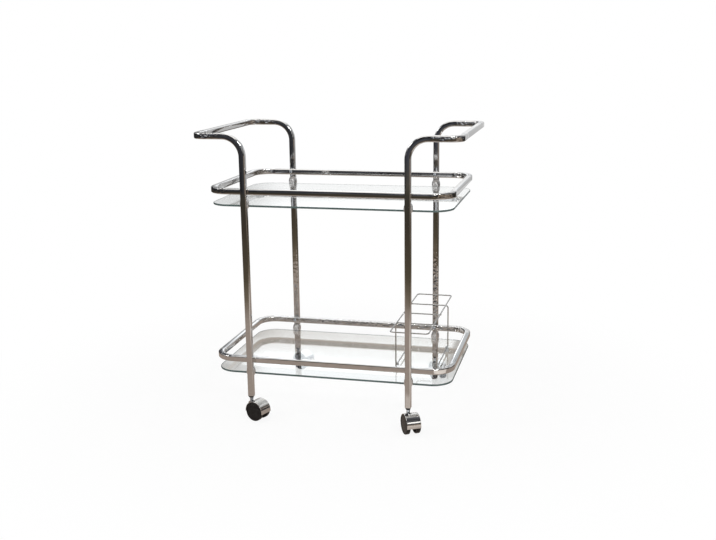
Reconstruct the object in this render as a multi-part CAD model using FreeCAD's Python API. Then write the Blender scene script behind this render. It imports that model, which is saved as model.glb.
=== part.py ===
import FreeCAD, Part
import math
import os

from FreeCAD import Placement, Rotation, Vector

# Bar cart on casters, in millimetres: X runs along the shelves, Y from front to rear, Z up.
# The origin is on the floor, in the middle of the four legs.

# Square tube of the end frames and rails
tube_size = 16.0
tube_corner_radius = 3.5
tube_wall = 1.2

# End frames
leg_span_x = 429.0
leg_span_y = 420.0
leg_foot_height = 63.5
handle_height = 757.0
handle_reach = 129.5
arm_bend_radius = 52.0
handle_corner_radius = 26.0

# Rails
upper_rail_drop = 143.5
lower_rail_height = 160.0
rail_length = 652.0
rail_corner_radius = 50.0

# Glass shelves
glass_thickness = 5.0
glass_length = 642.0
glass_corner_radius = 54.0
glass_edge_radius = 1.6
glass_drop = 39.5

# Glass clips with their liners and screws
clip_width = 22.6
clip_height = 33.0
clip_rise = 7.5
clip_cheek_reach = 10.0
clip_depth = 10.5
clip_mouth_width = 15.0
clip_mouth_height = 24.0
clip_mouth_rise = 3.0
clip_back_wall = 3.0
clip_edge_radius = 1.5
liner_thickness = 0.6
liner_width = 11.0
clip_screw_diameter = 4.0
clip_screw_head_diameter = 7.6
clip_screw_head_height = 2.0
clip_screw_length = 9.0

# Rail bolts and the weld nuts inside the legs
bolt_diameter = 5.0
bolt_head_diameter = 9.5
bolt_head_height = 2.75
bolt_head_edge_radius = 1.9
bolt_socket_across = 3.0
bolt_socket_depth = 1.6
bolt_end_length = 1.5
bolt_hole_clearance = 0.3
nut_across = 8.0
nut_height = 4.7

# Leg plugs and caster stems
plug_insert_height = 22.0
plug_insert_clearance = 0.1
plug_flange_height = 5.0
plug_foot_size = 11.0
stem_diameter = 8.0
stem_fit_clearance = 0.05
stem_insert_length = 22.0
stem_collar_diameter = 11.0
stem_collar_height = 2.0
stem_shank_diameter = 9.2
stem_pin_length = 18.0
stem_chamfer = 1.0

# Casters
wheel_diameter = 52.0
wheel_width = 11.2
wheel_edge_radius = 2.2
wheel_rim_width = 3.4
wheel_face_recess = 0.9
wheel_crown_recess = 0.3
wheel_hub_diameter = 13.0
wheel_back_recess = 5.0
wheel_bore_depth = 9.0
axle_diameter = 6.0
axle_fit_clearance = 0.05
caster_trail = 21.0
hood_wall = 1.4
hood_gap = 0.7
hood_width = 38.0
hood_web_width = 15.4
hood_boss_diameter = 15.0
hood_edge_radius = 1.0
hood_rear_skirt_height = 22.0
hood_front_skirt_height = 24.0
neck_diameter = 18.0
neck_top_height = 45.0
neck_recess_diameter = 15.0
wheel_side_gap = 0.7

# Rest angles of the casters, in degrees from the X axis
left_swivel_angle = -20.0
right_swivel_angle = -60.0

# Bottle rack
rack_wire_diameter = 3.5
rack_centre_x = 214.0
rack_width = 100.0
rack_cell_count = 4
rack_height = 134.0
rack_end_gap = 4.25
rack_corner_radius = 9.0
cradle_overhang = 5.0
cradle_bend_radius = 8.0
cradle_base_height = 10.0
foot_diameter = 11.0
foot_top_diameter = 8.5
foot_head = 2.6
foot_inset = 16.0

# Gaps: between wires that lie on each other, and between pieces that part from each other
weld_gap = 0.02
rest_gap = 0.3

# How far a cutting tool runs past the face it cuts
overrun = 2.0

# Part of a shallow dome's sag that is left half way out from its middle
dome_sag_share = 0.25

# Places that follow from the sizes above
leg_x = leg_span_x / 2
leg_y = leg_span_y / 2
leg_inner_y = leg_y - tube_size / 2
handle_x = leg_x + handle_reach
upper_rail_height = handle_height - upper_rail_drop
rail_y = leg_inner_y - tube_size / 2
rail_x = rail_length / 2 - tube_size / 2
plug_bottom_height = leg_foot_height - plug_flange_height
glass_half_depth = leg_inner_y - clip_back_wall - liner_thickness
rack_half_length = leg_inner_y - rack_end_gap - rack_wire_diameter / 2
rack_cell_depth = 2 * rack_half_length / rack_cell_count

X_AXIS = Vector(1, 0, 0)
Y_AXIS = Vector(0, 1, 0)
Z_AXIS = Vector(0, 0, 1)

corners = {
    "front_left": (-1, -1),
    "front_right": (1, -1),
    "rear_left": (-1, 1),
    "rear_right": (1, 1),
}
shelves = {"upper": upper_rail_height, "lower": lower_rail_height}


# Shared outlines and forms

def rounded_rectangle(width, height, radius):
    """Closed outline in the XY plane, centred on the origin."""
    half_w = width / 2
    half_h = height / 2
    flat_w = half_w - radius
    flat_h = half_h - radius
    bow = radius * math.sqrt(0.5)
    edges = []
    for quarter in range(4):
        turn = Rotation(Z_AXIS, 90 * quarter)
        across, along = (flat_w, flat_h) if quarter % 2 == 0 else (flat_h, flat_w)
        reach = across + radius
        start = turn.multVec(Vector(reach, -along, 0))
        end = turn.multVec(Vector(reach, along, 0))
        middle = turn.multVec(Vector(across + bow, along + bow, 0))
        corner_end = turn.multVec(Vector(across, along + radius, 0))
        edges.append(Part.makeLine(start, end))
        edges.append(Part.Arc(end, middle, corner_end).toShape())
    return Part.Wire(edges)


def facing(shape, direction, place):
    """Turn a shape that faces +Z so that it faces a direction, and put it in its place."""
    turned = shape.copy()
    turned.Placement = Placement(place, Rotation(Z_AXIS, direction)).multiply(turned.Placement)
    return turned


def tube_section(inset):
    """Section of the tube's outside, or of its bore when it is inset by the wall."""
    size = tube_size - 2 * inset
    return Part.Face(rounded_rectangle(size, size, tube_corner_radius - inset))


def wire_section():
    return Part.Face(Part.Wire(Part.makeCircle(rack_wire_diameter / 2)))


def bent_bar(section, start, heading, runs):
    """Bar of one section along straight runs; each run ends in a quarter bend or is the last.

    A run is (length, next heading, bend radius); the last run has no next heading.
    """
    face = facing(section, heading, start)
    pieces = []
    place = Vector(start)
    for length, turn, radius in runs:
        step = heading * length
        pieces.append(face.extrude(step))
        face.translate(step)
        place = place + step
        if turn is None:
            break
        centre = place + turn * radius
        axis = heading.cross(turn)
        pieces.append(face.revolve(centre, axis, 90))
        face.rotate(centre, axis, 90)
        place = centre + heading * radius
        heading = turn
    return pieces[0].multiFuse(pieces[1:]).removeSplitter()


def ring_runs(half_x, half_y, radius):
    """Runs of a closed rounded rectangle that starts in the middle of its front side."""
    long_run = 2 * (half_x - radius)
    short_run = 2 * (half_y - radius)
    return [
        (long_run / 2, Y_AXIS, radius),
        (short_run, -X_AXIS, radius),
        (long_run, -Y_AXIS, radius),
        (short_run, X_AXIS, radius),
        (long_run / 2, None, 0),
    ]


def rod(diameter, length, start, direction):
    return Part.makeCylinder(diameter / 2, length, start, direction)


def hexagon(across, height):
    corner = across / 2 / math.cos(math.pi / 6)
    points = []
    for step in range(7):
        angle = math.pi / 6 + step * math.pi / 3
        points.append(Vector(corner * math.cos(angle), corner * math.sin(angle), 0))
    return Part.Face(Part.makePolygon(points)).extrude(Vector(0, 0, height))


def glass_top(shelf):
    return shelves[shelf] - glass_drop + glass_thickness


def glass_middle(shelf):
    return shelves[shelf] - glass_drop + glass_thickness / 2


# Holes that the bolts and clip screws need in a tube

def bolt_hole(side_x, side_y, height):
    """Cutter from inside the rail through its two walls and the leg's inner wall."""
    start = Vector(side_x * leg_x, side_y * (rail_y - tube_size / 2 - overrun), height)
    length = overrun + tube_size + tube_wall * 2
    return rod(bolt_diameter + 2 * bolt_hole_clearance, length, start, Y_AXIS * side_y)


def clip_screw_hole(side_x, side_y, height):
    """Cutter through the leg's inner wall behind a clip."""
    start = Vector(side_x * leg_x, side_y * (leg_inner_y - overrun), height)
    return rod(clip_screw_diameter, overrun + tube_wall * 2, start, Y_AXIS * side_y)


# End frames

def end_frame_bar(side, inset, extra):
    """Front leg, arm, handle bar, arm and rear leg in one bent bar, its feet longer by an extra."""
    outward = X_AXIS * side
    leg_run = handle_height - arm_bend_radius - leg_foot_height + extra
    arm_run = handle_reach - arm_bend_radius - handle_corner_radius
    bar_run = leg_span_y - 2 * handle_corner_radius
    runs = [
        (leg_run, outward, arm_bend_radius),
        (arm_run, Y_AXIS, handle_corner_radius),
        (bar_run, -outward, handle_corner_radius),
        (arm_run, -Z_AXIS, arm_bend_radius),
        (leg_run, None, 0),
    ]
    start = Vector(side * leg_x, -leg_y, leg_foot_height - extra)
    return bent_bar(tube_section(inset), start, Z_AXIS, runs)


def end_frame(side):
    """Bent tube, drilled for the rail bolts and the clip screws."""
    cutters = [end_frame_bar(side, tube_wall, overrun)]
    for shelf, rail_height in shelves.items():
        for side_y in (-1, 1):
            cutters.append(bolt_hole(side, side_y, rail_height))
            cutters.append(clip_screw_hole(side, side_y, glass_middle(shelf)))
    return end_frame_bar(side, 0, 0).cut(cutters)


# Rails

def rail_bar(height, inset):
    start = Vector(0, -rail_y, height)
    return bent_bar(tube_section(inset), start, X_AXIS, ring_runs(rail_x, rail_y, rail_corner_radius))


def rail(height):
    """Closed ring of tube, drilled where it is bolted to the legs."""
    cutters = [rail_bar(height, tube_wall)]
    for side_x, side_y in corners.values():
        cutters.append(bolt_hole(side_x, side_y, height))
    return rail_bar(height, 0).cut(cutters)


def rail_bolts(height):
    """Button-head bolts that clamp a rail to the inside of the legs."""
    bolts = []
    for side_x, side_y in corners.values():
        outward = Y_AXIS * side_y
        seat = Vector(side_x * leg_x, side_y * (rail_y - tube_size / 2), height)
        shank_length = tube_size + tube_wall + nut_height + bolt_end_length
        dome = rod(bolt_head_diameter, bolt_head_height, Vector(0, 0, 0), Z_AXIS)
        crown = [edge for edge in dome.Edges if edge.BoundBox.ZMin > bolt_head_height / 2]
        dome = dome.makeFillet(bolt_head_edge_radius, crown)
        socket = hexagon(bolt_socket_across, bolt_socket_depth + overrun)
        socket.translate(Vector(0, 0, bolt_head_height - bolt_socket_depth))
        head = facing(dome.cut(socket), -outward, seat)
        bolts.append(head.fuse(rod(bolt_diameter, shank_length, seat, outward)).removeSplitter())
    return bolts


def weld_nuts():
    """Hexagon nuts on the inside of the legs' inner walls, one for each rail bolt."""
    nuts = []
    for height in shelves.values():
        for side_x, side_y in corners.values():
            outward = Y_AXIS * side_y
            seat = Vector(side_x * leg_x, side_y * (leg_inner_y + tube_wall), height)
            nut = facing(hexagon(nut_across, nut_height), outward, seat)
            hole = rod(bolt_diameter, nut_height + 2 * overrun, seat - outward * overrun, outward)
            nuts.append(nut.cut(hole))
    return nuts


# Glass shelves

def glass(shelf):
    """Plate with rounded corners and a pencil-polished edge."""
    outline = rounded_rectangle(glass_length, 2 * glass_half_depth, glass_corner_radius)
    plate = Part.Face(outline).extrude(Vector(0, 0, glass_thickness))
    bottom = shelves[shelf] - glass_drop
    plate.translate(Vector(0, 0, bottom))
    rims = []
    for edge in plate.Edges:
        box = edge.BoundBox
        if box.ZLength < glass_thickness / 2:
            rims.append(edge)
    return plate.makeFillet(glass_edge_radius, rims)


# Glass clips, made on a front leg: Y runs from the leg's inner face towards the middle of the cart

def on_leg(shape, side_x, side_y, shelf):
    """Put a form made on a front leg's inner face on a leg, at the middle of a shelf's glass."""
    if side_y > 0:
        shape.rotate(Vector(0, 0, 0), Z_AXIS, 180)
    shape.translate(Vector(side_x * leg_x, side_y * leg_inner_y, glass_middle(shelf)))
    return shape


def clip_slot_height():
    return glass_thickness + 2 * liner_thickness


def clip_oval(width, height, rise, depth):
    """Upright oval whose middle lies a rise above the glass."""
    middle = Vector(0, depth, rise)
    top = middle + Z_AXIS * (height / 2)
    side = middle + X_AXIS * (width / 2)
    return Part.Wire(Part.Ellipse(top, side, middle).toShape())


def clip_block(width, height, depth, length):
    """Box across the middle of the glass's edge, from a depth behind the leg."""
    block = Part.makeBox(width, length, height)
    block.translate(Vector(-width / 2, depth, -height / 2))
    return block


def clip_screw():
    """Countersunk screw whose head is flush with the bottom of the clip's slot."""
    head_start = Vector(0, clip_back_wall - clip_screw_head_height, 0)
    head = Part.makeCone(clip_screw_diameter / 2, clip_screw_head_diameter / 2,
                         clip_screw_head_height, head_start, Y_AXIS)
    shank = rod(clip_screw_diameter, clip_screw_length, Vector(0, clip_back_wall, 0), -Y_AXIS)
    return head.fuse(shank).removeSplitter()


def glass_clip():
    """Cast saddle: oval cheeks clasp the leg's inner half, a narrower mouth takes the glass."""
    seat = clip_oval(clip_width, clip_height, clip_rise, 0)
    mouth = clip_oval(clip_mouth_width, clip_mouth_height, clip_mouth_rise, clip_depth)
    cheeks = Part.Face(seat).extrude(Vector(0, -clip_cheek_reach, 0))
    body = Part.makeLoft([seat, mouth], True, True).fuse(cheeks)
    rims = []
    for edge in body.Edges:
        box = edge.BoundBox
        if box.YMin > clip_depth / 2 or box.YMax < -clip_cheek_reach / 2:
            rims.append(edge)
    body = body.makeFillet(clip_edge_radius, rims)
    leg = tube_section(0).extrude(Vector(0, 0, 2 * clip_height))
    leg.translate(Vector(0, -tube_size / 2, -clip_height))
    slot = clip_block(clip_width, clip_slot_height(), clip_back_wall, clip_depth)
    return body.cut([leg, slot, clip_screw()])


def clip_liner():
    """Soft channel between the clip and the glass."""
    length = clip_depth - clip_edge_radius - clip_back_wall
    channel = clip_block(liner_width, clip_slot_height(), clip_back_wall, length)
    floor = clip_back_wall + liner_thickness
    return channel.cut(clip_block(liner_width + 2 * overrun, glass_thickness, floor, length))


def on_all_legs(make, shelf):
    return [on_leg(make(), side_x, side_y, shelf) for side_x, side_y in corners.values()]


# Leg plugs and caster stems

def leg_plug(side_x, side_y):
    """Socket pressed into the leg, with a tapered foot below the tube."""
    insert_size = tube_size - 2 * (tube_wall + plug_insert_clearance)
    insert_corner = tube_corner_radius - tube_wall
    insert = Part.Face(rounded_rectangle(insert_size, insert_size, insert_corner))
    insert = insert.extrude(Vector(0, 0, plug_insert_height))
    insert.translate(Vector(0, 0, leg_foot_height))
    top = rounded_rectangle(tube_size, tube_size, tube_corner_radius)
    top.translate(Vector(0, 0, leg_foot_height))
    foot_corner = tube_corner_radius * plug_foot_size / tube_size
    foot = rounded_rectangle(plug_foot_size, plug_foot_size, foot_corner)
    foot.translate(Vector(0, 0, plug_bottom_height))
    flange = Part.makeLoft([foot, top], True, True)
    socket = rod(stem_diameter + 2 * stem_fit_clearance,
                 plug_flange_height + plug_insert_height + 2 * overrun,
                 Vector(0, 0, plug_bottom_height - overrun), Z_AXIS)
    plug = insert.fuse(flange).removeSplitter().cut(socket)
    plug.translate(Vector(side_x * leg_x, side_y * leg_y, 0))
    return plug


def caster_stem(side_x, side_y):
    """Turned pin: the upper end sits in the plug, the lower end carries the hood."""
    top = plug_bottom_height + stem_insert_length
    shank_bottom = neck_top_height + rest_gap
    pin_bottom = neck_top_height - stem_pin_length
    stem_r = stem_diameter / 2
    shank_r = stem_shank_diameter / 2
    collar_r = stem_collar_diameter / 2
    collar_bottom = plug_bottom_height - stem_collar_height
    points = [
        Vector(0, 0, pin_bottom),
        Vector(stem_r - stem_chamfer, 0, pin_bottom),
        Vector(stem_r, 0, pin_bottom + stem_chamfer),
        Vector(stem_r, 0, shank_bottom),
        Vector(shank_r, 0, shank_bottom),
        Vector(shank_r, 0, collar_bottom),
        Vector(collar_r, 0, collar_bottom),
        Vector(collar_r, 0, plug_bottom_height),
        Vector(stem_r, 0, plug_bottom_height),
        Vector(stem_r, 0, top - stem_chamfer),
        Vector(stem_r - stem_chamfer, 0, top),
        Vector(0, 0, top),
        Vector(0, 0, pin_bottom),
    ]
    outline = Part.Face(Part.makePolygon(points))
    stem = outline.revolve(Vector(0, 0, 0), Z_AXIS, 360)
    stem.translate(Vector(side_x * leg_x, side_y * leg_y, 0))
    return stem


# Casters, made with the swivel axis on Z and the wheels trailing along X

def wheel_radius():
    return wheel_diameter / 2


def on_axle(shape):
    """Move a form made round the origin to the caster's axle."""
    shape.translate(Vector(caster_trail, 0, wheel_radius()))
    return shape


def at_corner(shape, side_x, side_y):
    angle = left_swivel_angle if side_x < 0 else right_swivel_angle
    shape.rotate(Vector(0, 0, 0), Z_AXIS, angle)
    shape.translate(Vector(side_x * leg_x, side_y * leg_y, 0))
    return shape


def drum_profile(radius, half_width, edge_radius):
    """Closed half profile of a drum round the Y axis, with rounded rims."""
    bow = edge_radius * (1 - math.sqrt(0.5))
    rim = radius - edge_radius
    side = half_width - edge_radius
    edges = [
        Part.makeLine(Vector(0, -half_width, 0), Vector(rim, -half_width, 0)),
        Part.Arc(Vector(rim, -half_width, 0), Vector(radius - bow, -half_width + bow, 0),
                 Vector(radius, -side, 0)).toShape(),
        Part.makeLine(Vector(radius, -side, 0), Vector(radius, side, 0)),
        Part.Arc(Vector(radius, side, 0), Vector(radius - bow, half_width - bow, 0),
                 Vector(rim, half_width, 0)).toShape(),
        Part.makeLine(Vector(rim, half_width, 0), Vector(0, half_width, 0)),
        Part.makeLine(Vector(0, half_width, 0), Vector(0, -half_width, 0)),
    ]
    return Part.Face(Part.Wire(edges))


def caster_hood(side_x, side_y):
    """Drum cover with a middle web, a boss on it for the axle and a neck for the stem."""
    inner_radius = wheel_radius() + hood_gap
    outer_radius = inner_radius + hood_wall
    half_width = hood_width / 2
    drum = drum_profile(outer_radius, half_width, hood_edge_radius)
    drum = on_axle(drum.revolve(Vector(0, 0, 0), Y_AXIS, 360))
    neck_bottom = hood_front_skirt_height
    neck = rod(neck_diameter, neck_top_height - neck_bottom, Vector(0, 0, neck_bottom), Z_AXIS)
    boss = rod(hood_boss_diameter, hood_web_width, Vector(0, -hood_web_width / 2, 0), Y_AXIS)

    recess = rod(neck_recess_diameter, outer_radius * 2, Vector(0, 0, neck_top_height), Z_AXIS)
    stem_bore = rod(stem_diameter + 2 * stem_fit_clearance, stem_pin_length + rest_gap + overrun,
                    Vector(0, 0, neck_top_height - stem_pin_length - rest_gap), Z_AXIS)
    axle_bore = on_axle(rod(axle_diameter, hood_width, Vector(0, -half_width, 0), Y_AXIS))
    pockets = []
    for side in (-1, 1):
        start = Vector(0, side * hood_web_width / 2, 0)
        pockets.append(on_axle(rod(2 * inner_radius, half_width, start, Y_AXIS * side)))

    front = caster_trail - outer_radius - overrun
    rear = caster_trail + outer_radius + overrun
    below = wheel_radius() - outer_radius - overrun
    skirt = Part.makePolygon([
        Vector(front, -half_width - overrun, below),
        Vector(rear, -half_width - overrun, below),
        Vector(rear, -half_width - overrun, hood_rear_skirt_height),
        Vector(front, -half_width - overrun, hood_front_skirt_height),
        Vector(front, -half_width - overrun, below),
    ])
    skirt = Part.Face(skirt).extrude(Vector(0, hood_width + 2 * overrun, 0))
    body = drum.cut(skirt).fuse([neck, on_axle(boss)])
    hood = body.cut([recess, stem_bore, axle_bore] + pockets).removeSplitter()
    return at_corner(hood, side_x, side_y)


def axle_half_length():
    return hood_web_width / 2 + wheel_side_gap + wheel_bore_depth - rest_gap


def caster_axle(side_x, side_y):
    half = axle_half_length()
    axle = on_axle(rod(axle_diameter, 2 * half, Vector(0, -half, 0), Y_AXIS))
    return at_corner(axle, side_x, side_y)


def caster_wheel(side_x, side_y, side):
    """Moulded wheel: rounded tread, rimmed and domed outer face, hub in a dished back."""
    radius = wheel_radius()
    half_width = wheel_width / 2
    drum = drum_profile(radius, half_width, wheel_edge_radius)
    wheel = drum.revolve(Vector(0, 0, 0), Y_AXIS, 360)
    face_radius = radius - wheel_rim_width
    crown = half_width - wheel_crown_recess
    sag = wheel_face_recess - wheel_crown_recess
    dome = [
        Vector(0, crown, 0),
        Vector(face_radius / 2, crown - sag * dome_sag_share, 0),
        Vector(face_radius, crown - sag, 0),
        Vector(face_radius, half_width + overrun, 0),
        Vector(0, half_width + overrun, 0),
    ]
    face_cut = Part.Face(Part.Wire([
        Part.Arc(dome[0], dome[1], dome[2]).toShape(),
        Part.makeLine(dome[2], dome[3]),
        Part.makeLine(dome[3], dome[4]),
        Part.makeLine(dome[4], dome[0]),
    ])).revolve(Vector(0, 0, 0), Y_AXIS, 360)
    back = Vector(0, -half_width, 0)
    dish = rod(2 * face_radius, wheel_back_recess + overrun, back - Y_AXIS * overrun, Y_AXIS)
    hub = rod(wheel_hub_diameter, wheel_back_recess + overrun, back - Y_AXIS * overrun, Y_AXIS)
    bore = rod(axle_diameter + 2 * axle_fit_clearance, wheel_bore_depth + overrun,
               back - Y_AXIS * overrun, Y_AXIS)
    wheel = wheel.cut([face_cut, dish.cut(hub), bore])
    offset = hood_web_width / 2 + wheel_side_gap + half_width
    if side < 0:
        wheel.rotate(Vector(0, 0, 0), X_AXIS, 180)
    wheel.translate(Vector(0, side * offset, 0))
    return at_corner(on_axle(wheel), side_x, side_y)


# Bottle rack, standing on the lower glass

def rack_floor():
    return glass_top("lower")


def rack_frame_height():
    return rack_floor() + rack_height


def rack_cross_height():
    return rack_frame_height() - rack_wire_diameter - weld_gap


def cradle_y():
    """The cradle's cross wires stand one cell in from the ends of the frame."""
    return rack_cell_depth * (rack_cell_count / 2 - 1)


def rack_top_frame():
    """Rounded wire frame round the tops of the bottles."""
    start = Vector(rack_centre_x, -rack_half_length, rack_frame_height())
    runs = ring_runs(rack_width / 2, rack_half_length, rack_corner_radius)
    return bent_bar(wire_section(), start, X_AXIS, runs)


def rack_cradle():
    """One closed wire: two cross wires under the frame, four legs and two base runs."""
    half_x = rack_width / 2 + cradle_overhang
    half_y = cradle_y()
    radius = cradle_bend_radius
    cross_height = rack_cross_height()
    base_height = rack_floor() + cradle_base_height
    cross_run = 2 * (half_x - radius)
    leg_run = cross_height - base_height - 2 * radius
    base_run = 2 * (half_y - radius)
    runs = [
        (cross_run / 2, -Z_AXIS, radius),
        (leg_run, Y_AXIS, radius),
        (base_run, Z_AXIS, radius),
        (leg_run, -X_AXIS, radius),
        (cross_run, -Z_AXIS, radius),
        (leg_run, -Y_AXIS, radius),
        (base_run, Z_AXIS, radius),
        (leg_run, X_AXIS, radius),
        (cross_run / 2, None, 0),
    ]
    start = Vector(rack_centre_x, -half_y, cross_height)
    return bent_bar(wire_section(), start, X_AXIS, runs)


def rack_centre_wire():
    """Straight cross wire welded under the middle of the frame."""
    length = rack_width + rack_wire_diameter
    start = Vector(rack_centre_x - length / 2, 0, rack_cross_height())
    return rod(rack_wire_diameter, length, start, X_AXIS)


def rack_feet():
    """Soft feet threaded on the base runs, next to the legs."""
    feet = []
    half_x = rack_width / 2 + cradle_overhang
    foot_y = cradle_y() - foot_inset
    base_height = rack_floor() + cradle_base_height
    height = cradle_base_height + rack_wire_diameter / 2 + foot_head - rest_gap
    for side_x in (-1, 1):
        for side_y in (-1, 1):
            place = Vector(rack_centre_x + side_x * half_x, side_y * foot_y, rack_floor() + rest_gap)
            foot = Part.makeCone(foot_diameter / 2, foot_top_diameter / 2, height, place, Z_AXIS)
            hole_start = Vector(place.x, place.y - foot_diameter, base_height)
            hole = rod(rack_wire_diameter + 2 * weld_gap, 2 * foot_diameter, hole_start, Y_AXIS)
            feet.append(foot.cut(hole))
    return feet


# One file for each named piece; like pieces that are not told apart share one

def save(name, shape):
    if isinstance(shape, list):
        shape = Part.makeCompound(shape)
    shape.exportStep(os.path.join("parts", name + ".step"))


os.makedirs("parts", exist_ok=True)
save("left_end_frame", end_frame(-1))
save("right_end_frame", end_frame(1))
save("leg_weld_nuts", weld_nuts())
for shelf, rail_height in shelves.items():
    save(shelf + "_rail", rail(rail_height))
    save(shelf + "_rail_bolts", rail_bolts(rail_height))
    save(shelf + "_glass", glass(shelf))
    save(shelf + "_glass_clips", on_all_legs(glass_clip, shelf))
    save(shelf + "_clip_screws", on_all_legs(clip_screw, shelf))
    save(shelf + "_clip_liners", on_all_legs(clip_liner, shelf))
for corner, (side_x, side_y) in corners.items():
    save(corner + "_leg_plug", leg_plug(side_x, side_y))
    save(corner + "_caster_stem", caster_stem(side_x, side_y))
    save(corner + "_caster_hood", caster_hood(side_x, side_y))
    save(corner + "_caster_axle", caster_axle(side_x, side_y))
    for wheel_name, side in (("wheel_a", -1), ("wheel_b", 1)):
        save(corner + "_" + wheel_name, caster_wheel(side_x, side_y, side))
save("rack_top_frame", rack_top_frame())
save("rack_cradle", rack_cradle())
save("rack_centre_wire", rack_centre_wire())
save("rack_feet", rack_feet())
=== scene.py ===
import math

import bmesh
import bpy
from mathutils import Matrix, Vector


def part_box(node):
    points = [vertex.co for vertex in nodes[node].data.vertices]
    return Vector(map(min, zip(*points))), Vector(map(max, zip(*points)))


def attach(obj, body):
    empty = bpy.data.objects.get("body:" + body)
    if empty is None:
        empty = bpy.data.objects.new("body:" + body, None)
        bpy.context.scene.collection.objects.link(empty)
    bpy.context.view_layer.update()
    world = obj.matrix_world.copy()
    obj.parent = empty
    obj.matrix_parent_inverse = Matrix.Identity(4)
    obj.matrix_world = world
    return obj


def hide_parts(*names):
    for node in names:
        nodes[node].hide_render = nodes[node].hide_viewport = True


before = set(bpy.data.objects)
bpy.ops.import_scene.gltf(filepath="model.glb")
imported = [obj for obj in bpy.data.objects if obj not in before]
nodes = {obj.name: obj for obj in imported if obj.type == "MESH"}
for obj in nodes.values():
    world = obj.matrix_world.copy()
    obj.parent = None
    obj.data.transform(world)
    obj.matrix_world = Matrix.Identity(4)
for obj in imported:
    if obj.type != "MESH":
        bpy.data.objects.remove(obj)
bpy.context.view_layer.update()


# End frames: one length of soft-square steel tube each, bent cold from the front leg out into the arm,
# round into the handle bar and back down into the rear leg. Polished, then nickel and chrome plated.
rail_low, rail_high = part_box("upper_rail")
tube_size = rail_high.z - rail_low.z
tube_corner_radius = 0.0035
end_low, end_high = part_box("right_end_frame")
leg_x = end_low.x + tube_size / 2
leg_y = end_high.y - tube_size / 2
leg_foot = end_low.z
handle_height = end_high.z - tube_size / 2
handle_x = end_high.x - tube_size / 2
arm_bend_radius = 0.052
handle_corner_radius = 0.026


def fade(tree, value, low, high, to_low=0.0, to_high=1.0, kind="SMOOTHSTEP"):
    """Run from one output to another while the value goes from low to high."""
    node = tree.nodes.new("ShaderNodeMapRange")
    node.interpolation_type = kind
    limits = (("From Min", low), ("From Max", high), ("To Min", to_low), ("To Max", to_high))
    for socket, limit in limits:
        node.inputs[socket].default_value = limit
    tree.links.new(value, node.inputs["Value"])
    return node.outputs["Result"]


def joined(tree, operation, first, *others):
    """One math node for one or two values, a chain of them for more."""
    for other in others or (None,):
        node = tree.nodes.new("ShaderNodeMath")
        node.operation = operation
        tree.links.new(first, node.inputs[0])
        if other is not None:
            tree.links.new(other, node.inputs[1])
        first = node.outputs[0]
    return first


def between(tree, value, low, full_low, full_high, high):
    """1 between two limits, running out to 0 on both sides."""
    return joined(tree, "MULTIPLY", fade(tree, value, low, full_low), fade(tree, value, high, full_high))


def blended(tree, factor, first, second, kind="MIX"):
    """Mix two colours, each given as a socket or as a plain tone."""
    node = tree.nodes.new("ShaderNodeMix")
    node.data_type = "RGBA"
    node.blend_type = kind
    for name, source in (("Factor", factor), ("A", first), ("B", second)):
        socket = node.inputs[name]
        if isinstance(source, bpy.types.NodeSocket):
            tree.links.new(source, socket)
        elif isinstance(source, tuple):
            socket.default_value = (*source, 1.0)
        else:
            socket.default_value = source
    return node.outputs["Result"]


def object_place(tree):
    """Object coordinates, whole and split into three."""
    place = tree.nodes.new("ShaderNodeTexCoord").outputs["Object"]
    parts = tree.nodes.new("ShaderNodeSeparateXYZ")
    tree.links.new(place, parts.inputs["Vector"])
    return (place, *parts.outputs)


haze_spread = (0.14, 0.42)


def polish_marks_group():
    """Faint haze, wiping streaks and plating ripple, for every finish on the cart."""
    group = bpy.data.node_groups.new("polish_marks", "ShaderNodeTree")
    link = group.links.new
    face = group.interface
    face.new_socket("Vector", in_out="INPUT", socket_type="NodeSocketVector")
    for name, scale in (("Haze scale", 20.0), ("Streak scale", 240.0), ("Ripple scale", 30.0)):
        socket = face.new_socket(name, in_out="INPUT", socket_type="NodeSocketFloat")
        socket.default_value = scale
    for name in ("Haze", "Ripple"):
        face.new_socket(name, in_out="OUTPUT", socket_type="NodeSocketFloat")
    start = group.nodes.new("NodeGroupInput")
    end = group.nodes.new("NodeGroupOutput")
    noises = []
    for name, detail, roughness in (
        ("Haze scale", 5.0, 0.62),
        ("Streak scale", 2.0, 0.5),
        ("Ripple scale", 1.5, 0.5),
    ):
        noise = group.nodes.new("ShaderNodeTexNoise")
        noise.inputs["Detail"].default_value = detail
        noise.inputs["Roughness"].default_value = roughness
        link(start.outputs["Vector"], noise.inputs["Vector"])
        link(start.outputs[name], noise.inputs["Scale"])
        noises.append(noise.outputs["Fac"])
    haze, streaks, ripple = noises
    spread = fade(group, joined(group, "MULTIPLY", haze, streaks), *haze_spread, kind="LINEAR")
    link(spread, end.inputs["Haze"])
    link(ripple, end.inputs["Ripple"])
    return group


polish_marks = polish_marks_group()


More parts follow.
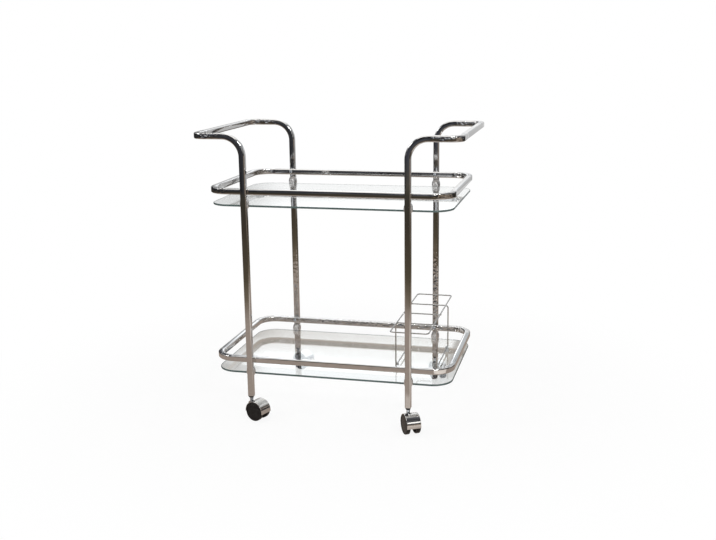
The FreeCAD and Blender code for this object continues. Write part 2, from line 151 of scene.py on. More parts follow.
def marked_surface(name, tones, roughness, scales, ripple=None):
    """Colour and roughness follow the haze; the normal follows the ripple, given as (strength, depth)."""
    material = bpy.data.materials.new(name)
    material.use_nodes = True
    tree = material.node_tree
    link = tree.links.new
    shader = tree.nodes["Principled BSDF"]
    place = tree.nodes.new("ShaderNodeTexCoord")
    marks = tree.nodes.new("ShaderNodeGroup")
    marks.node_tree = polish_marks
    link(place.outputs["Object"], marks.inputs["Vector"])
    for socket, scale in zip(("Haze scale", "Streak scale", "Ripple scale"), scales):
        marks.inputs[socket].default_value = scale
    haze = marks.outputs["Haze"]
    if len(tones) == 1:
        shader.inputs["Base Color"].default_value = (*tones[0], 1.0)
    else:
        link(blended(tree, haze, *tones), shader.inputs["Base Color"])
    link(fade(tree, haze, 0.0, 1.0, *roughness, kind="LINEAR"), shader.inputs["Roughness"])
    if ripple:
        bump = tree.nodes.new("ShaderNodeBump")
        bump.inputs["Strength"].default_value, bump.inputs["Distance"].default_value = ripple
        link(marks.outputs["Ripple"], bump.inputs["Height"])
        link(bump.outputs["Normal"], shader.inputs["Normal"])
    return material, shader


def polished_metal(name, tones, roughness, scales, ripple):
    """Plated or bare metal with its polish marks."""
    material, shader = marked_surface(name, tones, roughness, scales, ripple)
    shader.inputs["Metallic"].default_value = 1.0
    return material


chrome_tube = polished_metal(
    "chrome_tube",
    tones=((0.74, 0.735, 0.73), (0.66, 0.655, 0.65)),
    roughness=(0.035, 0.09),
    scales=(18.0, 260.0, 26.0),
    ripple=(0.25, 0.0004),
)
# Creases and pits: their grain and depth, and where they run in or out along x, y and z. They are calmer
# low down in front, and the pits grow deeper towards the right.
crease_scale = 110.0
crease_detail = 1.5
crease_strength = 0.9
crease_depth = 0.0022
creased_x = (0.262, 0.285)
creased_y = (0.13, 0.15)
calm_y = (-0.1, 0.1)
calm_z = (0.26, 0.4)
calm_share = 0.2
pitted_x = (-0.25, 0.2)
pitted_shares = (0.35, 2.0)
pitted_y = (0.15, 0.19)
pitted_z = (0.1, 0.14, 0.26, 0.4)


def bend_creases(material):
    """Shallow creases where the tube is bent, and pitted plating low on the rear legs and the rear rail."""
    tree = material.node_tree
    link = tree.links.new
    shader = tree.nodes["Principled BSDF"]
    place, x, y, z = object_place(tree)
    calm_front = joined(
        tree, "MAXIMUM",
        fade(tree, y, *calm_y, calm_share, 1.0),
        fade(tree, z, *calm_z, calm_share, 1.0),
    )
    at_bend = joined(
        tree, "MULTIPLY",
        fade(tree, joined(tree, "ABSOLUTE", x), *creased_x),
        fade(tree, joined(tree, "ABSOLUTE", y), *creased_y),
        calm_front,
    )
    pitted = joined(
        tree, "MULTIPLY",
        between(tree, z, *pitted_z),
        fade(tree, y, *pitted_y),
        fade(tree, x, *pitted_x, *pitted_shares),
    )
    creases = tree.nodes.new("ShaderNodeTexNoise")
    creases.inputs["Scale"].default_value = crease_scale
    creases.inputs["Detail"].default_value = crease_detail
    link(place, creases.inputs["Vector"])
    bump = tree.nodes.new("ShaderNodeBump")
    bump.inputs["Strength"].default_value = crease_strength
    bump.inputs["Distance"].default_value = crease_depth
    worn = joined(tree, "MAXIMUM", at_bend, pitted)
    link(joined(tree, "MULTIPLY", worn, creases.outputs["Fac"]), bump.inputs["Height"])
    link(shader.inputs["Normal"].links[0].from_socket, bump.inputs["Normal"])
    link(bump.outputs["Normal"], shader.inputs["Normal"])


bend_creases(chrome_tube)


def bent_bar_tree(name, round_section):
    """Geometry nodes that sweep a soft-square or round section along a path with rounded bends."""
    tree = bpy.data.node_groups.new(name, "GeometryNodeTree")
    tree.is_modifier = True
    face = tree.interface
    face.new_socket("Geometry", in_out="INPUT", socket_type="NodeSocketGeometry")
    for socket, kind, value in (
        ("Section", "Float", 0.016),
        ("Corner radius", "Float", 0.003),
        ("Corner steps", "Int", 8),
        ("Bend steps", "Int", 28),
    ):
        face.new_socket(socket, in_out="INPUT", socket_type="NodeSocket" + kind).default_value = value
    face.new_socket("Finish", in_out="INPUT", socket_type="NodeSocketMaterial")
    face.new_socket("Geometry", in_out="OUTPUT", socket_type="NodeSocketGeometry")
    made = tree.nodes
    link = tree.links.new
    start = made.new("NodeGroupInput")
    end = made.new("NodeGroupOutput")
    path = made.new("GeometryNodeMeshToCurve")
    radius = made.new("GeometryNodeInputNamedAttribute")
    radius.data_type = "FLOAT"
    radius.inputs["Name"].default_value = "bend_radius"
    bends = made.new("GeometryNodeFilletCurve")
    bends.mode = "POLY"
    sweep = made.new("GeometryNodeCurveToMesh")
    sweep.inputs["Fill Caps"].default_value = True
    realize = made.new("GeometryNodeRealizeInstances")
    smooth = made.new("GeometryNodeSetShadeSmooth")
    finish = made.new("GeometryNodeSetMaterial")
    link(start.outputs["Geometry"], path.inputs["Mesh"])
    link(path.outputs["Curve"], bends.inputs["Curve"])
    link(start.outputs["Bend steps"], bends.inputs["Count"])
    link(radius.outputs["Attribute"], bends.inputs["Radius"])
    link(bends.outputs["Curve"], sweep.inputs["Curve"])
    if round_section:
        section = made.new("GeometryNodeCurvePrimitiveCircle")
        half = made.new("ShaderNodeMath")
        half.operation = "MULTIPLY"
        half.inputs[1].default_value = 0.5
        link(start.outputs["Section"], half.inputs[0])
        link(half.outputs[0], section.inputs["Radius"])
        link(start.outputs["Corner steps"], section.inputs["Resolution"])
        link(section.outputs["Curve"], sweep.inputs["Profile Curve"])
    else:
        section = made.new("GeometryNodeCurvePrimitiveQuadrilateral")
        edges = made.new("GeometryNodeFilletCurve")
        edges.mode = "POLY"
        link(start.outputs["Section"], section.inputs["Width"])
        link(start.outputs["Section"], section.inputs["Height"])
        link(section.outputs["Curve"], edges.inputs["Curve"])
        link(start.outputs["Corner radius"], edges.inputs["Radius"])
        link(start.outputs["Corner steps"], edges.inputs["Count"])
        link(edges.outputs["Curve"], sweep.inputs["Profile Curve"])
    link(sweep.outputs["Mesh"], smooth.inputs["Geometry"])
    link(smooth.outputs["Geometry"], realize.inputs["Geometry"])
    link(realize.outputs["Geometry"], finish.inputs["Geometry"])
    link(start.outputs["Finish"], finish.inputs["Material"])
    link(finish.outputs["Geometry"], end.inputs["Geometry"])
    return tree


soft_square_bar = bent_bar_tree("soft_square_bar", False)
weld_distance = 1e-7


def plain_mesh_of(holder, name):
    """Turn what the nodes made into a plain mesh on an object of its own, faces outwards."""
    bpy.context.view_layer.update()
    evaluated = holder.evaluated_get(bpy.context.evaluated_depsgraph_get())
    mesh = bpy.data.meshes.new_from_object(evaluated)
    bpy.data.objects.remove(holder)
    form = bmesh.new()
    form.from_mesh(mesh)
    bmesh.ops.remove_doubles(form, verts=form.verts, dist=weld_distance)
    bmesh.ops.recalc_face_normals(form, faces=form.faces)
    form.to_mesh(mesh)
    form.free()
    mesh.name = name
    piece = bpy.data.objects.new(name, mesh)
    bpy.context.scene.collection.objects.link(piece)
    return piece


def bent_bar(name, tree, points, closed, values, finish):
    """Sweep a bar along points given as (place, bend radius)."""
    mesh = bpy.data.meshes.new(name + "_path")
    count = len(points)
    edges = [(i, i + 1) for i in range(count - 1)]
    if closed:
        edges.append((count - 1, 0))
    mesh.from_pydata([place for place, radius in points], edges, [])
    bend = mesh.attributes.new("bend_radius", "FLOAT", "POINT")
    bend.data.foreach_set("value", [radius for place, radius in points])
    holder = bpy.data.objects.new(name + "_path", mesh)
    bpy.context.scene.collection.objects.link(holder)
    modifier = holder.modifiers.new("bar", "NODES")
    modifier.node_group = tree
    values = dict(values, Finish=finish)
    for item in tree.interface.items_tree:
        if item.in_out == "INPUT" and item.name in values:
            modifier[item.identifier] = values[item.name]
    return plain_mesh_of(holder, name)


tube_values = {
    "Section": tube_size,
    "Corner radius": tube_corner_radius,
    "Corner steps": 8,
    "Bend steps": 30,
}
for side, name in ((-1, "left"), (1, "right")):
    path = [
        ((side * leg_x, -leg_y, leg_foot), 0.0),
        ((side * leg_x, -leg_y, handle_height), arm_bend_radius),
        ((side * handle_x, -leg_y, handle_height), handle_corner_radius),
        ((side * handle_x, leg_y, handle_height), handle_corner_radius),
        ((side * leg_x, leg_y, handle_height), arm_bend_radius),
        ((side * leg_x, leg_y, leg_foot), 0.0),
    ]
    piece = bent_bar(name + "_end_frame_tube", soft_square_bar, path, False, tube_values, chrome_tube)
    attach(piece, "frame")
    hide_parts(name + "_end_frame")


# Rails: closed rounded-rectangle rings of the same tube, butt welded and ground flush before plating.
# Each is bolted from its inside to the four legs.
shelves = ("upper", "lower")
rail_corner_radius = 0.050
for shelf in shelves:
    rail_low, rail_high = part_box(shelf + "_rail")
    rail_x = rail_high.x - tube_size / 2
    rail_y = rail_high.y - tube_size / 2
    height = rail_high.z - tube_size / 2
    path = [((x * rail_x, y * rail_y, height), rail_corner_radius)
            for x, y in ((-1, -1), (1, -1), (1, 1), (-1, 1))]
    piece = bent_bar(shelf + "_rail_ring", soft_square_bar, path, True, tube_values, chrome_tube)
    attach(piece, "frame")
    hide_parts(shelf + "_rail")


# Rail bolts and weld nuts: zinc-plated steel, the bolts with a button head and a hexagon socket.
# The bolts go from the inside of the rail into nuts welded inside the legs.
zinc = polished_metal(
    "zinc_plate",
    tones=((0.62, 0.66, 0.71), (0.46, 0.49, 0.52)),
    roughness=(0.2, 0.42),
    scales=(90.0, 700.0, 320.0),
    ripple=(0.3, 0.0002),
)
for name in ("leg_weld_nuts", "upper_rail_bolts", "lower_rail_bolts"):
    nodes[name].material_slots[0].material = zinc


# Glass shelves: clear float glass, cut with round corners, with a ground and polished pencil edge.
# They lie in the clips and show the dark green-grey of the glass only at the edge.
glass_ior = 1.52
edge_transmission = 0.35
glass_corner_radius = 0.054
glass_corner_steps = 24
glass_edge_radius = 0.0016
glass_edge_steps = 6
glass_face, shader = marked_surface(
    "glass_face",
    tones=((0.97, 0.99, 0.985),),
    roughness=(0.0, 0.006),
    scales=(9.0, 60.0),
)
shader.inputs["Transmission Weight"].default_value = 1.0
shader.inputs["IOR"].default_value = glass_ior
glass_edge, shader = marked_surface(
    "glass_edge",
    tones=((0.085, 0.125, 0.12), (0.16, 0.22, 0.21)),
    roughness=(0.12, 0.3),
    scales=(30.0, 500.0),
)
shader.inputs["Transmission Weight"].default_value = edge_transmission
shader.inputs["IOR"].default_value = glass_ior


def plate_outline(half_x, half_y, inset, height):
    """Points round the plate's outline, pulled in by an inset, at one height."""
    radius = glass_corner_radius - inset
    flat_x = half_x - glass_corner_radius
    flat_y = half_y - glass_corner_radius
    outline = []
    for quarter, (x, y) in enumerate(((1, 1), (-1, 1), (-1, -1), (1, -1))):
        for step in range(glass_corner_steps + 1):
            angle = math.pi / 2 * (quarter + step / glass_corner_steps)
            across = x * flat_x + radius * math.cos(angle)
            along = y * flat_y + radius * math.sin(angle)
            outline.append((across, along, height))
    return outline


edge_profile = []
for step in range(glass_edge_steps + 1):
    angle = math.pi / 2 * step / glass_edge_steps
    edge_profile.append((glass_edge_radius * (1 - math.sin(angle)), glass_edge_radius * (1 - math.cos(angle))))
for shelf in shelves:
    plate_low, plate_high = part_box(shelf + "_glass")
    form = bmesh.new()
    levels = [(inset, plate_low.z + rise) for inset, rise in edge_profile]
    levels += [(inset, plate_high.z - rise) for inset, rise in reversed(edge_profile)]
    rings = []
    for inset, height in levels:
        outline = plate_outline(plate_high.x, plate_high.y, inset, height)
        rings.append([form.verts.new(point) for point in outline])
    for low, high in zip(rings, rings[1:]):
        for i in range(len(low)):
            j = (i + 1) % len(low)
            strip = form.faces.new((low[i], low[j], high[j], high[i]))
            strip.material_index = 1
            strip.smooth = True
    form.faces.new(list(reversed(rings[0])))
    form.faces.new(rings[-1])
    mesh = bpy.data.meshes.new(shelf + "_glass_plate")
    bmesh.ops.recalc_face_normals(form, faces=form.faces)
    form.to_mesh(mesh)
    form.free()
    mesh.materials.append(glass_face)
    mesh.materials.append(glass_edge)
    piece = bpy.data.objects.new(shelf + "_glass_plate", mesh)
    bpy.context.scene.collection.objects.link(piece)
    piece.visible_shadow = False
    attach(piece, "frame")
    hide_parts(shelf + "_glass")


# Glass clips: small oval castings with a satin chrome finish, screwed to the inner faces of the legs.
# A soft grey liner in each slot holds the edge of the glass.
chrome_casting = polished_metal(
    "chrome_casting",
    tones=((0.88, 0.875, 0.87), (0.8, 0.795, 0.79)),
    roughness=(0.42, 0.55),
    scales=(60.0, 500.0, 90.0),
    ripple=(0.12, 0.0003),
)
dust_scale = 70.0
scuff_scale = 420.0
grain_depth = 0.0001
moulded_specular = 0.28
coat_roughness = 0.12


def moulded(name, tones, roughness, grain_scale, grain_strength, coat=0.0):
    """Moulded plastic or rubber: a fine grain, a little dust, a colour that is not quite even."""
    scales = (dust_scale, scuff_scale, grain_scale)
    material, shader = marked_surface(name, tones, roughness, scales, (grain_strength, grain_depth))
    shader.inputs["Specular IOR Level"].default_value = moulded_specular
    shader.inputs["Coat Weight"].default_value = coat
    shader.inputs["Coat Roughness"].default_value = coat_roughness
    return material


grey_liner = moulded("grey_liner", ((0.36, 0.37, 0.37), (0.5, 0.51, 0.51)), (0.5, 0.75), 900.0, 0.3)
for shelf in shelves:
    nodes[shelf + "_glass_clips"].material_slots[0].material = chrome_casting
    nodes[shelf + "_clip_screws"].material_slots[0].material = zinc
    nodes[shelf + "_clip_liners"].material_slots[0].material = grey_liner


# Leg plugs and caster stems: a black nylon plug is driven into the foot of each leg,
# and the zinc-plated steel stem of the caster is pressed up into the plug.
corner_names = ("front_left", "front_right", "rear_left", "rear_right")
black_nylon = moulded("black_nylon", ((0.012, 0.012, 0.012), (0.03, 0.03, 0.03)), (0.32, 0.5), 800.0, 0.25)
for corner in corner_names:
    nodes[corner + "_leg_plug"].material_slots[0].material = black_nylon
    nodes[corner + "_caster_stem"].material_slots[0].material = zinc


# Caster hoods and axles: chromed drum covers that swivel on the stems.
# A web in the middle of each carries a steel axle for the two wheels.
chrome_hood = polished_metal(
    "chrome_hood",
    tones=((0.76, 0.755, 0.75), (0.66, 0.655, 0.65)),
    roughness=(0.05, 0.12),
    scales=(50.0, 420.0, 60.0),
    ripple=(0.35, 0.0005),
)
for corner in corner_names:
    nodes[corner + "_caster_hood"].material_slots[0].material = chrome_hood
    nodes[corner + "_caster_axle"].material_slots[0].material = zinc


# Caster wheels: two moulded black wheels on each axle, with a rounded tread and a dished, rimmed face.
# The plastic has a satin gloss and shows the floor faintly.
wheel_tones = ((0.005, 0.005, 0.0055), (0.014, 0.0135, 0.013))
wheel_black = moulded("wheel_black", wheel_tones, (0.25, 0.4), 520.0, 0.2, coat=0.05)
for corner in corner_names:
    for wheel in ("wheel_a", "wheel_b"):
        nodes[corner + "_" + wheel].material_slots[0].material = wheel_black


# Bottle rack: chromed steel wire, resistance welded: a rounded frame on top, one closed cradle wire that
# makes the legs, two cross wires and the base runs, and a straight wire across the middle. It stands loose.
ring_low, ring_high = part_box("rack_top_frame")
cradle_low, cradle_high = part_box("rack_cradle")
wire_diameter = ring_high.z - ring_low.z
half_wire = wire_diameter / 2
rack_corner_radius = 0.009
cradle_bend_radius = 0.008
chrome_wire = polished_metal(
    "chrome_wire",
    tones=((0.56, 0.56, 0.555), (0.42, 0.42, 0.415)),
    roughness=(0.08, 0.18),
    scales=(60.0, 500.0, 120.0),
    ripple=(0.2, 0.0002),
)
round_bar = bent_bar_tree("round_bar", True)
wire_values = {"Section": wire_diameter, "Corner steps": 20, "Bend steps": 12}
left, right = ring_low.x + half_wire, ring_high.x - half_wire
front, rear = ring_low.y + half_wire, ring_high.y - half_wire
rack_top = ring_high.z - half_wire
path = [((x, y, rack_top), rack_corner_radius)
        for x, y in ((left, front), (right, front), (right, rear), (left, rear))]
frame_wire = bent_bar("rack_frame_wire", round_bar, path, True, wire_values, chrome_wire)
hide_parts("rack_top_frame")
left, right = cradle_low.x + half_wire, cradle_high.x - half_wire
front, rear = cradle_low.y + half_wire, cradle_high.y - half_wire
cross_height = cradle_high.z - half_wire
base_height = cradle_low.z + half_wire
path = [(place, cradle_bend_radius) for place in (
    (left, front, cross_height),
    (right, front, cross_height),
    (right, front, base_height),
    (right, rear, base_height),
    (right, rear, cross_height),
    (left, rear, cross_height),
    (left, rear, base_height),
    (left, front, base_height),
)]
cradle_wire = bent_bar("rack_cradle_wire", round_bar, path, True, wire_values, chrome_wire)
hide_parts("rack_cradle")
path = [((x, 0.0, cross_height), 0.0) for x in (ring_low.x, ring_high.x)]
middle_wire = bent_bar("rack_middle_wire", round_bar, path, False, wire_values, chrome_wire)
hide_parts("rack_centre_wire")
for piece in (frame_wire, cradle_wire, middle_wire):
    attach(piece, "bottle_rack")
nodes["rack_feet"].material_slots[0].material = grey_liner


# Studio: a pale floor in a white room, a long soft light from the front right and a weaker one from the left.
# Only polished pieces see the rest: a floor that is warm close by with painted light on it, a white wall at the
# back with painted shade, and a dark room with windows and a few light panels. Limits on floor and wall are in
# metres, tones are linear.
white_tone = (1.0, 1.0, 1.0)
pale_tone = (0.93, 0.93, 0.93)
shadow_reach = (0.45, 1.2)
least_white = 0.88
floor_half = 9.0
floor_reach = 4.2
floor_tones = (
    (0.0, (0.4, 0.335, 0.29)),
    (1.22, (0.388, 0.322, 0.277)),
    (1.52, (0.18, 0.145, 0.105)),
    (1.85, (0.096, 0.077, 0.05)),
    (2.25, (0.08, 0.065, 0.045)),
    (3.0, (0.054, 0.044, 0.032)),
    (3.5, (0.05, 0.043, 0.033)),
    (4.2, (0.054, 0.049, 0.038)),
)
# Painted shadow on the floor under the lower glass, warm in tone, seen only through the glass.
painted_shadow_tone = (0.42, 0.37, 0.32)
painted_shadow_x = (-0.8, -0.5, 0.3, 0.6)
painted_shadow_y = (-0.1, 0.1, 0.54, 0.68)
painted_shadow_deepens_y = (0.24, 0.38)
painted_shadow_least = 0.5
painted_shadow_left_x = (-0.28, -0.36)
painted_shadow_rear_y = (0.17, 0.22)
# Painted light on the floor seen by the metal: a patch far to the right, and a lit patch in front of the cart.
painted_light_right_tone = (0.95, 0.78, 0.65)
painted_light_right_x = (2.0, 2.7)
painted_light_right_y = (0.6, 0.2)
painted_light_right_share = 0.24
lit_tone = (0.95, 0.87, 0.8)
lit_x = (0.32, 0.46, 1.05, 1.25)
lit_y = (-1.1, -0.9)
half_lit_x = (0.02, 0.1, 0.6, 0.8)
half_lit_y = (-0.5, -0.44)
half_lit_share = 0.4
lit_end_y = (-0.24, -0.3)
back_floor_tone = (0.7, 0.7, 0.7)
back_floor_x = (1.34, 1.1)
back_floor_y = (2.6, 3.6)


def mirrored_mask(tree):
    """1 for rays that have left a polished surface, 0 for those straight from the camera or through glass."""
    path = tree.nodes.new("ShaderNodeLightPath")
    mask = tree.nodes.new("ShaderNodeMath")
    mask.operation = "MINIMUM"
    mask.inputs[1].default_value = 1.0
    tree.links.new(path.outputs["Glossy Depth"], mask.inputs[0])
    return mask.outputs[0]


def tone_ramp(tree, value, tones):
    """Colour ramp through tones given as (position, colour)."""
    node = tree.nodes.new("ShaderNodeValToRGB")
    elements = node.color_ramp.elements
    elements[0].position, elements[0].color = tones[0][0], (*tones[0][1], 1.0)
    elements[1].position, elements[1].color = tones[-1][0], (*tones[-1][1], 1.0)
    for position, tone in tones[1:-1]:
        elements.new(position).color = (*tone, 1.0)
    tree.links.new(value, node.inputs["Fac"])
    return node.outputs["Color"]


def glow_of(tree, colour):
    """Emission of strength 1 in a colour."""
    glow = tree.nodes.new("ShaderNodeEmission")
    tree.links.new(colour, glow.inputs["Color"])
    return glow.outputs["Emission"]


def shader_mix(tree, mask, first, second):
    """The first shader where the mask is 0, the second where it is 1."""
    mix = tree.nodes.new("ShaderNodeMixShader")
    for source, socket in ((mask, 0), (first, 1), (second, 2)):
        tree.links.new(source, mix.inputs[socket])
    return mix.outputs["Shader"]


def bare_material(name):
    """Material with an output and nothing else, which is no lamp for the others."""
    material = bpy.data.materials.new(name)
    material.use_nodes = True
    material.cycles.emission_sampling = "NONE"
    material.node_tree.nodes.remove(material.node_tree.nodes["Principled BSDF"])
    return material, material.node_tree


def floor_finish():
    """White floor with a soft shadow and a painted shadow seen through the lower glass; the metal sees it warm
    near the cart, with painted light, and dark further in front.
    """
    material, tree = bare_material("studio_floor")
    link = tree.links.new
    place, x, y, _ = object_place(tree)
    length = tree.nodes.new("ShaderNodeVectorMath")
    length.operation = "LENGTH"
    link(place, length.inputs[0])
    reach = length.outputs["Value"]

    # Seen straight or through glass: white, with a warm painted shadow under the lower glass that only rays
    # through the glass see.
    pale = tree.nodes.new("ShaderNodeBsdfDiffuse")
    pale.inputs["Color"].default_value = (*pale_tone, 1.0)
    path = tree.nodes.new("ShaderNodeLightPath")
    through = path.outputs["Is Transmission Ray"]
    seen = joined(tree, "MAXIMUM", path.outputs["Is Camera Ray"], through)
    painted_shadow = joined(
        tree, "MULTIPLY",
        between(tree, x, *painted_shadow_x),
        between(tree, y, *painted_shadow_y),
        fade(tree, y, *painted_shadow_deepens_y, painted_shadow_least, 1.0),
        joined(tree, "MAXIMUM", fade(tree, x, *painted_shadow_left_x), fade(tree, y, *painted_shadow_rear_y)),
        through,
    )
    white = glow_of(tree, blended(tree, painted_shadow, white_tone, painted_shadow_tone))
    whiteness = joined(tree, "MULTIPLY", fade(tree, reach, *shadow_reach, least_white, 1.0), seen)
    plain = shader_mix(tree, whiteness, pale.outputs[0], white)

    # Seen in polished metal: a pool of warm tones, painted light on the right and in front, grey at the back.
    pool = fade(tree, reach, 0.0, floor_reach, kind="LINEAR")
    colour = tone_ramp(tree, pool, [(distance / floor_reach, tone) for distance, tone in floor_tones])
    painted_light_right = joined(
        tree, "MULTIPLY",
        fade(tree, x, *painted_light_right_x, 0.0, painted_light_right_share),
        fade(tree, y, *painted_light_right_y),
    )
    colour = blended(tree, painted_light_right, colour, painted_light_right_tone)
    lit = joined(tree, "MULTIPLY", between(tree, x, *lit_x), fade(tree, y, *lit_y))
    half_lit = joined(
        tree, "MULTIPLY",
        between(tree, x, *half_lit_x),
        fade(tree, y, *half_lit_y, 0.0, half_lit_share),
    )
    lit = joined(tree, "MULTIPLY", joined(tree, "MAXIMUM", lit, half_lit), fade(tree, y, *lit_end_y))
    colour = blended(tree, lit, colour, lit_tone)
    at_back = joined(tree, "MULTIPLY", fade(tree, y, *back_floor_y), fade(tree, x, *back_floor_x))
    mirrored = glow_of(tree, blended(tree, at_back, colour, back_floor_tone))
    surface = tree.nodes["Material Output"].inputs["Surface"]
    link(shader_mix(tree, mirrored_mask(tree), plain, mirrored), surface)
    return material


mesh = bpy.data.meshes.new("floor")
floor_corners = [(x * floor_half, y * floor_half, 0) for x, y in ((-1, -1), (1, -1), (1, 1), (-1, 1))]
mesh.from_pydata(floor_corners, [], [(0, 1, 2, 3)])
mesh.materials.append(floor_finish())
floor = bpy.data.objects.new("floor", mesh)
bpy.context.scene.collection.objects.link(floor)

room_radius = 4.2
room_height = 4.5
room_steps = 96
room_tones = ((0.0, (0.02, 0.0205, 0.023)), (0.3, (0.035, 0.036, 0.041)), (1.0, (0.07, 0.07, 0.075)))
blot_scale, blot_detail = 1.6, 4.0
blot_levels = (0.36, 0.64, 0.35, 2.0)
back_wall_tones = (
    (0.0, (0.72, 0.72, 0.72)),
    (0.1, (0.9, 0.9, 0.9)),
    (0.28, (0.95, 0.95, 0.95)),
    (0.33, (1.97, 2.06, 2.14)),
    (0.4, (1.88, 1.96, 2.04)),
    (0.5, (0.95, 0.95, 0.95)),
    (0.8, (1.15, 1.14, 1.12)),
    (1.0, (0.9, 0.9, 0.9)),
)
back_wall_x = (-2.0, -1.6, 2.6, 3.3)
back_wall_end_x = (2.6, 1.9)
wider_foot_z = (1.34, 1.26)
wider_foot_by = 0.7
low_right_x, low_right_dim = (0.0, 0.9), 0.66
low_left_x, low_left_dim = (-1.75, -1.45), 0.62
# Painted shade on the white wall: a dimmer part right of a leaning edge at middle heights, and a low leaning
# band.
middle_z = (1.33, 1.38, 1.9, 2.2)
middle_slope = 0.448
middle_edge, middle_dim = (0.3, 0.34), 0.33
painted_shade_band_slope = -0.36
painted_shade_band_edges, painted_shade_band_dim = (0.172, 0.19, 0.3, 0.4), 0.5
high_wall_tones = ((0.0, (0.85, 0.85, 0.85)), (1.0, (0.75, 0.75, 0.75)))
high_wall_x = (1.4, 2.0, 3.4, 3.9)
high_wall_z = (1.9, 2.4, 4.0, 4.4)
high_wall_blots = 0.3
window_tone = (0.66, 0.68, 0.72)
left_window_x = (-2.6, -2.2, -1.62, -1.46)
middle_window_x = (-0.66, -0.58, 0.3, 0.9)
window_z = (0.75, 1.0, 1.9, 2.3)
pane_scale, pane_detail = 4.5, 2.0
pane_levels = (0.42, 0.6, 0.3, 1.8)
cool_tones = ((0.0, (0.07, 0.062, 0.045)), (0.03, (0.06, 0.057, 0.055)), (0.05, (0.052, 0.055, 0.068)))
cool_x = (-1.3, -1.05, 0.2, 0.5)
cool_z = (0.5, 0.3)
cool_blots = 0.4
warm_tone = (0.31, 0.25, 0.2)
warm_x = (2.0, 2.7)
warm_y = (0.9, 0.4)
warm_z = (0.8, 0.45)
grey_tone = (0.5, 0.5, 0.5)
grey_x = (-3.0, -3.6)
grey_z = (1.7, 2.2, 3.4, 4.0)
side_blots = 0.5


def dimmed(tree, amount, colour, share=1.0):
    """Multiply a colour by an amount, only as far as the share says."""
    return blended(tree, share, colour, amount, "MULTIPLY")


def uneven(tree, place, scale, detail, levels):
    """Uneven brightness from a noise; the levels are those of the noise, then those put out."""
    noise = tree.nodes.new("ShaderNodeTexNoise")
    noise.inputs["Scale"].default_value = scale
    noise.inputs["Detail"].default_value = detail
    tree.links.new(place, noise.inputs["Vector"])
    return fade(tree, noise.outputs["Fac"], *levels)


def leaning(tree, value, other, slope):
    """A coordinate that leans by a slope along another one."""
    node = tree.nodes.new("ShaderNodeMath")
    node.operation = "MULTIPLY_ADD"
    node.inputs[1].default_value = slope
    tree.links.new(other, node.inputs[0])
    tree.links.new(value, node.inputs[2])
    return node.outputs[0]


def room_finish():
    """Dark, uneven room: white wall at the back, windows in front, warm low on the right, grey on the left."""
    material, tree = bare_material("dark_room")
    place, x, y, z = object_place(tree)
    rise = fade(tree, z, 0.0, room_height, kind="LINEAR")
    behind = fade(tree, y, 0.0, 1.0)
    before = fade(tree, y, 0.0, -1.0)
    blots = uneven(tree, place, blot_scale, blot_detail, blot_levels)
    colour = dimmed(tree, blots, tone_ramp(tree, rise, room_tones))

    # White wall: dimmer at both low ends, and with painted shade above them right of a leaning edge and along a
    # low leaning band.
    low = joined(
        tree, "MULTIPLY",
        fade(tree, x, *low_right_x, 1.0, low_right_dim),
        fade(tree, x, *low_left_x, low_left_dim, 1.0),
    )
    middle = fade(tree, leaning(tree, x, z, middle_slope), *middle_edge, 1.0, middle_dim)
    painted_shade_band = between(tree, leaning(tree, z, y, painted_shade_band_slope), *painted_shade_band_edges)
    back_wall = tone_ramp(tree, rise, back_wall_tones)
    back_wall = dimmed(tree, blended(tree, between(tree, z, *middle_z), low, middle), back_wall)
    back_wall = dimmed(tree, fade(tree, painted_shade_band, 0.0, 1.0, 1.0, painted_shade_band_dim), back_wall)
    wider_foot = fade(tree, z, *wider_foot_z, 0.0, wider_foot_by)
    at_back = joined(
        tree, "MULTIPLY",
        between(tree, joined(tree, "ADD", x, wider_foot), *back_wall_x),
        fade(tree, x, *back_wall_end_x),
        behind,
    )
    colour = blended(tree, at_back, colour, back_wall)
    at_high = joined(tree, "MULTIPLY", between(tree, x, *high_wall_x), between(tree, z, *high_wall_z), behind)
    high_wall = dimmed(tree, blots, tone_ramp(tree, rise, high_wall_tones), high_wall_blots)
    colour = blended(tree, at_high, colour, high_wall)

    # Front: two windows with uneven panes, and a cooler patch at the foot of the wall.
    panes = uneven(tree, place, pane_scale, pane_detail, pane_levels)
    both_windows = joined(tree, "MAXIMUM", between(tree, x, *left_window_x), between(tree, x, *middle_window_x))
    at_windows = joined(tree, "MULTIPLY", both_windows, between(tree, z, *window_z), before)
    colour = blended(tree, at_windows, colour, dimmed(tree, panes, window_tone))
    at_foot = joined(tree, "MULTIPLY", between(tree, x, *cool_x), fade(tree, z, *cool_z), before)
    cool = dimmed(tree, blots, tone_ramp(tree, rise, cool_tones), cool_blots)
    colour = blended(tree, at_foot, colour, cool)

    # Sides: warm low on the right, grey high on the left.
    at_right = joined(tree, "MULTIPLY", fade(tree, x, *warm_x), fade(tree, z, *warm_z), fade(tree, y, *warm_y))
    colour = blended(tree, at_right, colour, dimmed(tree, blots, warm_tone, side_blots))
    at_left = joined(tree, "MULTIPLY", fade(tree, x, *grey_x), between(tree, z, *grey_z))
    colour = blended(tree, at_left, colour, dimmed(tree, blots, grey_tone, side_blots))
    clear = tree.nodes.new("ShaderNodeBsdfTransparent")
    seen = shader_mix(tree, mirrored_mask(tree), clear.outputs[0], glow_of(tree, colour))
    tree.links.new(seen, tree.nodes["Material Output"].inputs["Surface"])
    return material


panel_tone = (1.0, 0.98, 0.95)
panel_strength = 1.6


def panel_finish():
    """Lit panel that only the polished pieces see."""
    material, tree = bare_material("light_panel")
    glow = tree.nodes.new("ShaderNodeEmission")
    glow.inputs["Color"].default_value = (*panel_tone, 1.0)
    glow.inputs["Strength"].default_value = panel_strength
    clear = tree.nodes.new("ShaderNodeBsdfTransparent")
    seen = shader_mix(tree, mirrored_mask(tree), clear.outputs[0], glow.outputs[0])
    tree.links.new(seen, tree.nodes["Material Output"].inputs["Surface"])
    return material


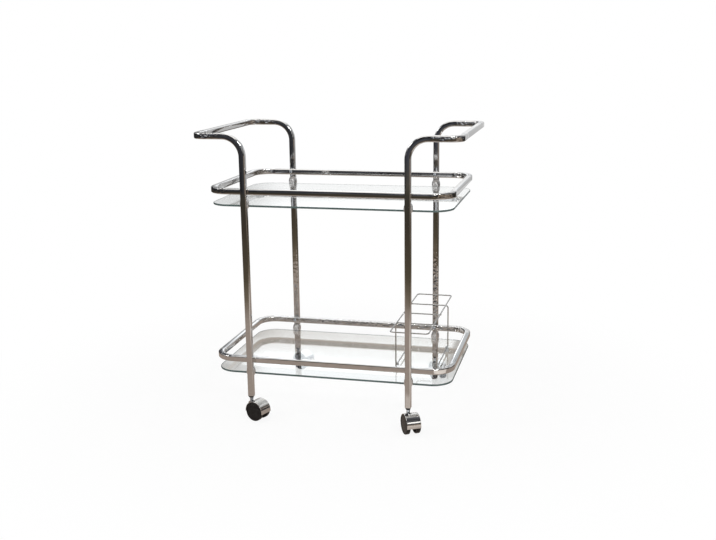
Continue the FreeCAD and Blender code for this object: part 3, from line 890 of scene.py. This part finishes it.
# Each panel: its turn round the room and its width in degrees, its lower and its upper edge in metres.
panel_radius = 4.1
light_panels = (
    (-158.0, 7.0, 0.9, 2.0),
    (-128.0, 4.0, 1.3, 1.9),
    (-62.0, 6.0, 0.8, 2.2),
    (-40.0, 5.0, 1.5, 2.6),
    (-15.0, 6.0, 0.9, 1.5),
    (10.0, 4.0, 1.2, 1.8),
    (30.0, 5.0, 0.7, 1.2),
)
overhead_x = (-1.2, 0.65)
overhead_y = (-1.45, 0.45)
overhead_height = 2.4


def room_point(form, degrees, radius, height):
    """New point of the room's mesh, at a turn round the cart."""
    angle = math.radians(degrees)
    return form.verts.new((radius * math.cos(angle), radius * math.sin(angle), height))


form = bmesh.new()
turns = [360.0 * step / room_steps for step in range(room_steps)]
low = [room_point(form, turn, room_radius, 0.0) for turn in turns]
high = [room_point(form, turn, room_radius, room_height) for turn in turns]
for i in range(room_steps):
    j = (i + 1) % room_steps
    form.faces.new((low[i], low[j], high[j], high[i]))
form.faces.new(high)
for turn, width, bottom, top in light_panels:
    ends = (turn - width / 2, turn + width / 2)
    base = [room_point(form, end, panel_radius, bottom) for end in ends]
    cap = [room_point(form, end, panel_radius, top) for end in ends]
    form.faces.new((base[0], base[1], cap[1], cap[0])).material_index = 1
overhead = [form.verts.new((overhead_x[i], overhead_y[j], overhead_height))
            for i, j in ((0, 0), (1, 0), (1, 1), (0, 1))]
form.faces.new(overhead).material_index = 1
mesh = bpy.data.meshes.new("dark_room")
form.to_mesh(mesh)
form.free()
mesh.materials.append(room_finish())
mesh.materials.append(panel_finish())
room = bpy.data.objects.new("dark_room", mesh)
bpy.context.scene.collection.objects.link(room)

sky_on_matt = 0.62
world = bpy.data.worlds.new("white_room")
world.use_nodes = True
bpy.context.scene.world = world
tree = world.node_tree
sky = tree.nodes["Background"]
sky.inputs["Color"].default_value = (*white_tone, 1.0)
light_path = tree.nodes.new("ShaderNodeLightPath")
sky_level = fade(tree, light_path.outputs["Is Diffuse Ray"], 0.0, 1.0, 1.0, sky_on_matt)
tree.links.new(sky_level, sky.inputs["Strength"])


def soft_light(name, place, target, width, height, watts):
    """Square-cornered soft box that looks at a target."""
    lamp = bpy.data.lights.new(name, "AREA")
    lamp.shape = "RECTANGLE"
    lamp.size = width
    lamp.size_y = height
    lamp.energy = watts
    holder = bpy.data.objects.new(name, lamp)
    holder.location = place
    holder.rotation_mode = "QUATERNION"
    holder.rotation_quaternion = (Vector(target) - Vector(place)).to_track_quat("-Z", "Y")
    bpy.context.scene.collection.objects.link(holder)


soft_light("key_light", (1.5, -2.45, 2.4), (0.0, 0.0, 0.3), width=1.5, height=0.2, watts=46.0)
soft_light("fill_light", (-2.6, -1.6, 2.2), (0.0, 0.0, 0.4), width=0.9, height=0.9, watts=18.0)


# Camera: the photograph's own place and lens, a little above the handles and to the right of the middle.
# It was fitted to points on legs, rails, handles and wheels; its angles are in radians.
camera_place = (0.6813, -2.5836, 1.0036)
yaw, pitch, roll = 0.246, 0.233, -0.01305
camera_data = bpy.data.cameras.new("camera")
camera_data.sensor_width = 36.0
camera_data.lens = 49.857
camera_data.clip_end = 60.0
camera = bpy.data.objects.new("camera", camera_data)
bpy.context.scene.collection.objects.link(camera)
ahead = Vector((-math.sin(yaw) * math.cos(pitch), math.cos(yaw) * math.cos(pitch), -math.sin(pitch)))
flat_right = Vector((math.cos(yaw), math.sin(yaw), 0.0))
flat_up = flat_right.cross(ahead)
right_way = math.cos(roll) * flat_right + math.sin(roll) * flat_up
up_way = -math.sin(roll) * flat_right + math.cos(roll) * flat_up
turn = Matrix((right_way, up_way, -ahead)).transposed().to_4x4()
camera.matrix_world = Matrix.Translation(camera_place) @ turn
bpy.context.scene.camera = camera
bpy.context.scene.view_settings.view_transform = "Standard"
